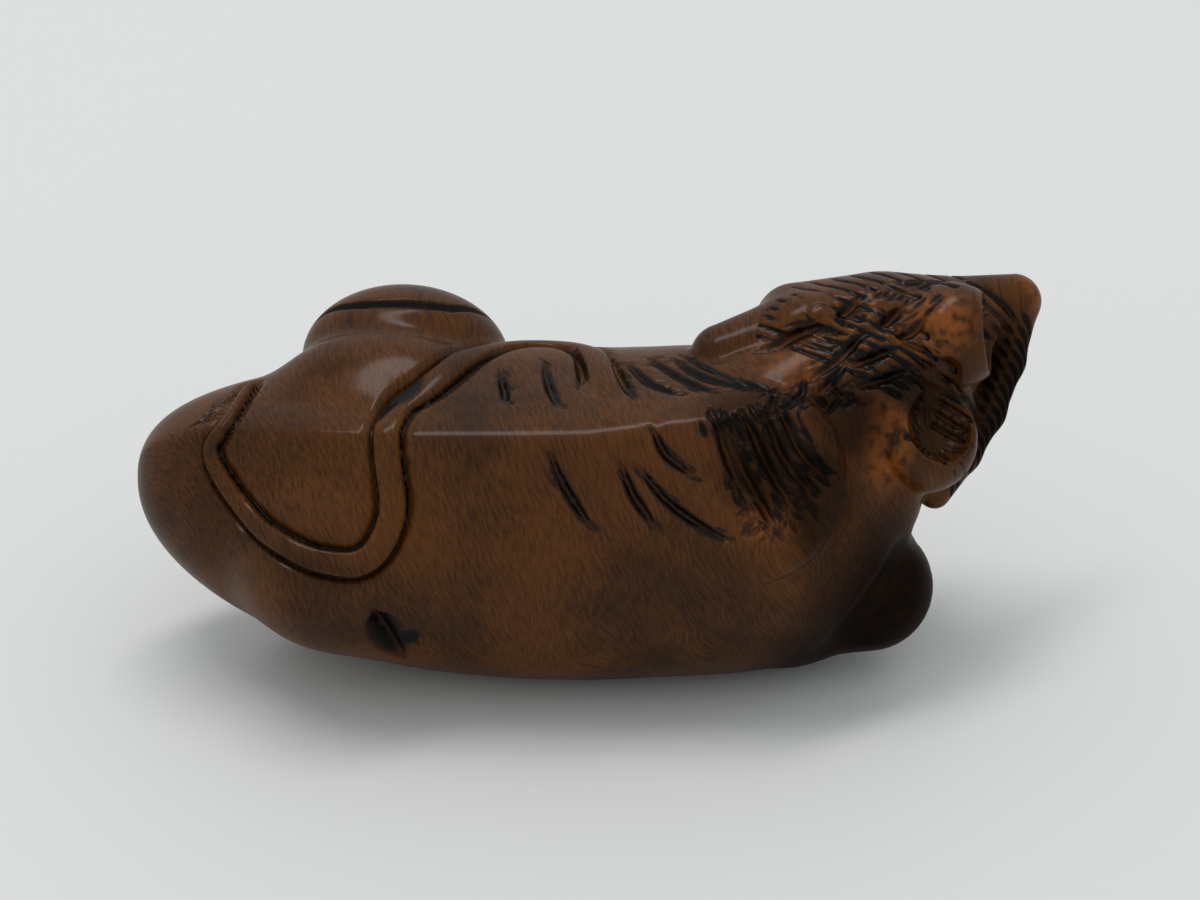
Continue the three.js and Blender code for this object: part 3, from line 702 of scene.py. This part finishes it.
def look_up_strokes():
    """Finds every stroke's points on the surface, all of one kind of place at once."""
    for place in {id(s["place"]): s["place"] for s in strokes}.values():
        mine = [s for s in strokes if s["place"] is place]
        found = place(np.concatenate([s["path"] for s in mine]))
        ends = np.cumsum([len(s["path"]) for s in mine])[:-1]
        for s, points in zip(mine, np.split(found, ends)):
            s["points"] = points.astype(np.float32)


def distance_to_chain(p, chain):
    """Distance to a chain of points, and how far along it the nearest place is (0 to 1)."""
    best = np.full(len(p), np.inf, np.float32)
    along = np.zeros(len(p), np.float32)
    for i in range(len(chain) - 1):
        run = chain[i + 1] - chain[i]
        q = p - chain[i]
        t = np.clip(q @ run / (run @ run + 1e-9), 0, 1)
        d = length(q - t[:, None] * run)
        nearer = d < best
        best = np.where(nearer, d, best)
        along = np.where(nearer, (i + t) / (len(chain) - 1), along)
    return best, along


class Nearby:
    """Finds the points within reach of a stroke, from an order along the spine."""

    def __init__(self, points):
        self.order = np.argsort(points[:, 0], kind="stable")
        self.sorted = points[self.order]

    def of(self, chain, reach):
        low, high = chain.min(0) - reach, chain.max(0) + reach
        first, last = np.searchsorted(self.sorted[:, 0], [low[0], high[0]])
        part = self.sorted[first:last]
        keep = ((part[:, 1:] > low[1:]) & (part[:, 1:] < high[1:])).all(1)
        return self.order[first:last][keep]


def relief_of_tail(points, near, lift, dark):
    """Raises the tail's band and cuts a groove along each of its edges."""
    tail = on_trunk(curve_through(TAIL, TAIL_SAMPLES)).astype(np.float32)
    at = near.of(tail, TAIL_REACH)
    d, along = distance_to_chain(points[at], tail)
    narrow, wide = TAIL_HALF_WIDTH
    half = narrow + (wide - narrow) * np.clip(along * TAIL_WIDENING, 0, 1)
    off = d - half
    inner = np.clip(1 + off / TAIL_GROOVE_INNER, 0, 1)
    outer = np.clip(1 - off / TAIL_GROOVE_OUTER, 0, 1)
    end = np.clip((1 - along) * TAIL_FADING, 0, 1)
    groove = np.where(off < 0, ease(inner), outer**2) * end
    lift[at] += TAIL_RAISE * np.clip(1 - (d / half) ** 2, 0, 1) * end - TAIL_GROOVE * groove
    dark[at] = np.maximum(np.where(off < 0, inner**3, outer**4) * end, dark[at])


def carving(points):
    """Lift of the surface (mm, outwards) and how dark the cut is (0 to 1), at each point."""
    near = Nearby(points)
    lift = np.zeros(len(points), np.float32)
    cut = np.zeros(len(points), np.float32)
    dark = np.zeros(len(points), np.float32)
    relief_of_tail(points, near, lift, dark)
    for s in strokes:
        at = near.of(s["points"], s["width"] * CUT_REACH)
        if not len(at):
            continue
        d, along = distance_to_chain(points[at], s["points"])
        taper = np.sin(np.pi * np.clip(along, *STROKE_ENDS)) ** s["blunt"]
        across = d / (s["width"] * taper)
        if s["depth"] < 0:
            lift[at] -= s["depth"] * taper * np.clip(1 - across**2, 0, 1)
            continue
        depth = s["depth"] * taper * np.clip(1 - across, 0, 1) ** CUT_PROFILE
        cut[at] = np.maximum(cut[at], depth) + CUT_CROSSING * np.minimum(cut[at], depth)
        core = np.clip(STAIN_CORE - STAIN_CORE * across / STAIN_SPREAD, 0, 1)
        dark[at] = np.maximum(dark[at], s["stain"] * core * np.clip(taper * 1.3, 0, 1))
    return lift - cut, dark


GRIME_AND_SHADE = (  # place, radii, amount: some grime, and painted shade that darkens the hollows, creases and the shadowed right shoulder and fore paw
    ((16.5, 3.0, 9.6), (3.2, 2.8, 3.4), 0.75),  # hollow behind the nape
    ((15.2, -2.6, 9.6), (2.6, 4.4, 3.0), 0.85),
    ((11.8, -1.6, 11.8), (3.6, 3.2, 2.4), 0.8),  # top of the mane
    ((21.8, 5.2, 9.2), (3.2, 1.8, 3.0), 0.75),  # between the ears
    ((19.0, -5.6, 0.5), (6.4, 5.0, 6.5), 1.0),  # right shoulder and fore paw, mostly painted shade
    ((15.5, -8.5, -1.5), (4.5, 4.0, 5.0), 0.75),
    ((10.5, 2.6, 11.0), (3.0, 2.6, 2.4), 0.7),
    ((23.6, 2.6, 6.6), (2.4, 2.2, 2.6), 0.6),  # foot of the right ear
    ((26.8, 7.6, 3.6), (3.6, 7.0, 2.6), 0.85),  # brow
    ((-18.4, 7.6, 9.4), (3.4, 1.0, 1.6), 0.55),  # above the left haunch
)
WEAR = (  # place, radii, amount: where handling has rubbed the stain off
    ((22.4, 9.4, 11.0), (2.6, 2.6, 1.6), 0.75),  # left ear
    ((19.4, 2.0, 8.0), (1.6, 2.6, 3.4), 0.8),  # right ear
    ((30.0, 14.6, 4.6), (1.4, 1.6, 1.6), 0.7),  # knob at the end of the brow
    ((12.0, -4.6, 11.0), (2.8, 1.5, 1.8), 1.0),  # side of the mane
    ((14.5, 7.4, 9.4), (3.5, 2.8, 2.5), 0.4),  # ruff
)


def amount_in(regions, points, soft=0.35):
    """The most that any egg-shaped region gives at each point, falling to 0 outside it."""
    most = np.zeros(len(points), np.float32)
    for at, radii, amount in regions:
        k = length((points - vec(*at)) / vec(*radii))
        most = np.maximum(most, amount * np.clip((1 + soft - k) / (2 * soft), 0, 1))
    return most


def build_tiger():
    points, quads = surface_net(sample_grid(form, GRID_LOW, GRID_HIGH, GRID), GRID_LOW, GRID)
    points = settle(form, points, steps=3)
    for _ in range(SPLITS):
        points, quads = split_in_four(points, quads)
        points = settle(form, points, steps=1)
    normals = unit(slope(form, points))
    look_up_strokes()
    lift, _ = carving(points)
    carved = points + normals * lift[:, None]

    mesh = bpy.data.meshes.new("tiger_carving")
    mesh.vertices.add(len(carved))
    mesh.vertices.foreach_set("co", carved.ravel())
    mesh.loops.add(quads.size)
    mesh.loops.foreach_set("vertex_index", quads.ravel().astype(np.int32))
    mesh.polygons.add(len(quads))
    mesh.polygons.foreach_set("loop_start", np.arange(0, quads.size, 4, dtype=np.int32))
    mesh.update(calc_edges=True)
    mesh.validate()
    tiger = bpy.data.objects.new("tiger_carving", mesh)
    bpy.context.scene.collection.objects.link(tiger)
    thin = tiger.modifiers.new("thin", "DECIMATE")
    thin.ratio = FACES / (2 * len(quads))
    settled = bpy.context.evaluated_depsgraph_get()
    thinned = bpy.data.meshes.new_from_object(tiger.evaluated_get(settled))
    tiger.modifiers.clear()
    tiger.data = thinned
    bpy.data.meshes.remove(mesh)
    thinned.name = "tiger_carving"
    return tiger


def vertices_of(mesh):
    flat = np.empty(len(mesh.vertices) * 3, np.float32)
    mesh.vertices.foreach_get("co", flat)
    return flat.reshape(-1, 3)


def store(mesh, name, values):
    layer = mesh.attributes.new(name, "FLOAT", "POINT")
    layer.data.foreach_set("value", values.astype(np.float32).ravel())


def paint(mesh):
    """Stores what the material reads, while the mesh still lies along its own spine."""
    points = vertices_of(mesh)
    _, dark = carving(points)
    store(mesh, "cut", dark)
    store(mesh, "grime_and_shade", amount_in(GRIME_AND_SHADE, points))
    store(mesh, "worn", amount_in(WEAR, points))
    store(mesh, "along", points[:, 0])
    y, z = MIDLINE
    store(mesh, "round", np.degrees(np.arctan2(points[:, 1] - y, points[:, 2] - z)) * MM_PER_DEGREE)


def lay_down(mesh):
    """Rolls the tiger onto its flank, rests it on the floor and centres it."""
    c, s = math.cos(math.radians(ROLL)), math.sin(math.radians(ROLL))
    x, y, z = vertices_of(mesh).T
    y, z = y * c - z * s, y * s + z * c
    z = np.maximum(z - z.min() - REST_CUT, 0)
    laid = np.stack([x - (x.max() + x.min()) / 2, y - (y.max() + y.min()) / 2, z], 1) * MM
    mesh.vertices.foreach_set("co", laid.astype(np.float32).ravel())
    mesh.update()
    mesh.shade_smooth()


# ---------------------------------------------------------------- materials
class Wire:
    """A shader socket that can be used in ordinary sums; `node` makes any other node."""

    def __init__(self, tree, socket):
        self.tree = tree
        self.socket = socket

    def node(self, kind, inputs=None, output=0, **settings):
        made = self.tree.nodes.new(kind)
        for name, value in settings.items():
            setattr(made, name, value)
        for name, value in (inputs or {}).items():
            if isinstance(value, Wire):
                self.tree.links.new(value.socket, made.inputs[name])
            else:
                made.inputs[name].default_value = value
        return Wire(self.tree, made.outputs[output])

    def maths(self, operation, *values, clamp=False):
        inputs = dict(enumerate(values))
        return self.node("ShaderNodeMath", inputs, operation=operation, use_clamp=clamp)

    def __add__(self, other):
        return self.maths("ADD", self, other)

    def __radd__(self, other):
        return self.maths("ADD", other, self)

    def __sub__(self, other):
        return self.maths("SUBTRACT", self, other)

    def __rsub__(self, other):
        return self.maths("SUBTRACT", other, self)

    def __mul__(self, other):
        return self.maths("MULTIPLY", self, other)

    def __rmul__(self, other):
        return self.maths("MULTIPLY", other, self)

    def clip(self):
        return self.maths("ADD", self, 0.0, clamp=True)

    def between(self, low, high):
        return self.node(
            "ShaderNodeMapRange",
            {"Value": self, "From Min": low, "From Max": high},
            interpolation_type="SMOOTHSTEP",
        )

    def mixed(self, a, b):
        """Colour a where this is 0, colour b where it is 1."""
        return self.node("ShaderNodeMix", {0: self, 6: a, 7: b}, output=2, data_type="RGBA")

    def feed(self, shader, name):
        self.tree.links.new(self.socket, shader.inputs[name])


def colour(text):
    """A hex colour, as the linear values that a shader takes."""
    parts = [int(text[i : i + 2], 16) / 255 for i in (0, 2, 4)]
    return (*[c / 12.92 if c <= 0.04045 else ((c + 0.055) / 1.055) ** 2.4 for c in parts], 1.0)


def new_material(name):
    material = bpy.data.materials.new(name)
    material.use_nodes = True
    tree = material.node_tree
    return material, tree.nodes["Principled BSDF"], Wire(tree, None)


def boxwood():
    material, shader, wood = new_material("stained_boxwood")

    def attribute(name):
        return wood.node("ShaderNodeAttribute", output="Fac", attribute_name=name)

    def noise(vector, scale, detail=2.0, rough=0.5):
        inputs = {"Vector": vector, "Scale": scale, "Detail": detail, "Roughness": rough}
        return wood.node("ShaderNodeTexNoise", inputs, output="Fac")

    cut, grime_and_shade, worn = attribute("cut"), attribute("grime_and_shade"), attribute("worn")
    along, around = attribute("along"), attribute("round")
    place = wood.node("ShaderNodeTexCoord", output="Object")

    bend = noise(place, 120.0)
    across_fibre = along * 6.0 + around * (bend - 0.5) * 3.0 + around * 1.6
    with_fibre = around * 0.9 + bend * 3.0
    flow = wood.node("ShaderNodeCombineXYZ", {"X": across_fibre, "Y": with_fibre, "Z": 0.0})
    fibre = noise(flow, 1.0, 3.0, 0.6)
    cloud = noise(place, 90.0, 3.0, 0.55)
    pits = noise(place, 2600.0, 2.0, 0.6)
    speck = noise(place, 1300.0, 1.0)

    stain = fibre.between(0.3, 0.68).mixed(colour(FIBRE_DARK), colour(FIBRE_LIGHT))
    stain = (cloud.between(0.42, 0.75) * 0.7).mixed(stain, colour(DEEP_BROWN))
    stain = (cloud.between(0.6, 0.25) * 0.35).mixed(stain, colour(WARM_BROWN))
    stain = (worn * speck.between(0.3, 0.62) * 0.9).mixed(stain, colour(WORN_AMBER))
    # painted shade, with some grime: blackens the hollows, creases and the right shoulder's shadowed
    # side
    stain = (grime_and_shade * (0.75 + 0.25 * speck)).clip().mixed(stain, colour(GRIME_AND_SHADE_BLACK))
    stain = (cut.between(0.05, 0.6) * 0.98).mixed(stain, colour(CUT_BLACK))
    stain.feed(shader, "Base Color")
    (0.36 + 0.16 * fibre + 0.25 * cut + 0.12 * grime_and_shade).clip().feed(shader, "Roughness")
    # the coat thins where the shade is painted, so these places stay dark
    (0.24 - 0.24 * grime_and_shade).clip().feed(shader, "Coat Weight")
    shader.inputs["Specular IOR Level"].default_value = 0.04
    shader.inputs["Coat Roughness"].default_value = 0.16

    height = fibre * 0.5 + pits * 0.35 + cut * speck * 0.6
    relief = {"Height": height, "Strength": 0.35, "Distance": BUMP_HEIGHT}
    wood.node("ShaderNodeBump", relief, output="Normal").feed(shader, "Normal")
    return material


def pale_floor():
    material, shader, _ = new_material("pale floor")
    shader.inputs["Base Color"].default_value = colour(FLOOR_WHITE)
    shader.inputs["Roughness"].default_value = 0.55
    return material


# ---------------------------------------------------------------- the piece
tiger = build_tiger()
paint(tiger.data)
lay_down(tiger.data)
tiger.data.materials.clear()
tiger.data.materials.append(boxwood())
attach(tiger, "root")
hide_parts("carved_tiger")


# ---------------------------------------------------------------- floor, light and camera
def add_floor():
    mesh = bpy.data.meshes.new("floor")
    corners = [(x * FLOOR_HALF, y * FLOOR_HALF, 0) for x, y in ((-1, -1), (1, -1), (1, 1), (-1, 1))]
    mesh.from_pydata(corners, [], [(0, 1, 2, 3)])
    mesh.materials.append(pale_floor())
    floor = bpy.data.objects.new("floor", mesh)
    bpy.context.scene.collection.objects.link(floor)


def add_light(name, location, size, power, tint):
    light = bpy.data.lights.new(name, "AREA")
    light.shape = "RECTANGLE"
    light.size, light.size_y = size
    light.energy = power
    light.color = tint
    holder = bpy.data.objects.new(name, light)
    holder.location = location
    towards = Vector(LIGHT_AIM) - Vector(location)
    holder.rotation_euler = towards.to_track_quat("-Z", "Y").to_euler()
    bpy.context.scene.collection.objects.link(holder)


def add_world():
    world = bpy.data.worlds.new("soft room")
    world.use_nodes = True
    background = world.node_tree.nodes["Background"]
    background.inputs["Color"].default_value = ROOM_TINT
    background.inputs["Strength"].default_value = ROOM_STRENGTH
    bpy.context.scene.world = world


def add_camera():
    camera = bpy.data.cameras.new("camera")
    holder = bpy.data.objects.new("camera", camera)
    elevation = math.radians(CAMERA_ELEVATION)
    target = Vector(CAMERA_TARGET) * MM
    back = Vector((0, -math.cos(elevation), math.sin(elevation)))
    holder.location = target + back * CAMERA_DISTANCE * MM
    holder.rotation_euler = (-back).to_track_quat("-Z", "Y").to_euler()
    camera.lens = CAMERA_LENS
    camera.sensor_width = 36.0
    camera.clip_start = 0.005
    bpy.context.scene.collection.objects.link(holder)
    bpy.context.scene.camera = holder


add_floor()
add_world()
for light in LIGHTS:
    add_light(*light)
add_camera()
bpy.context.scene.view_settings.view_transform = "Standard"
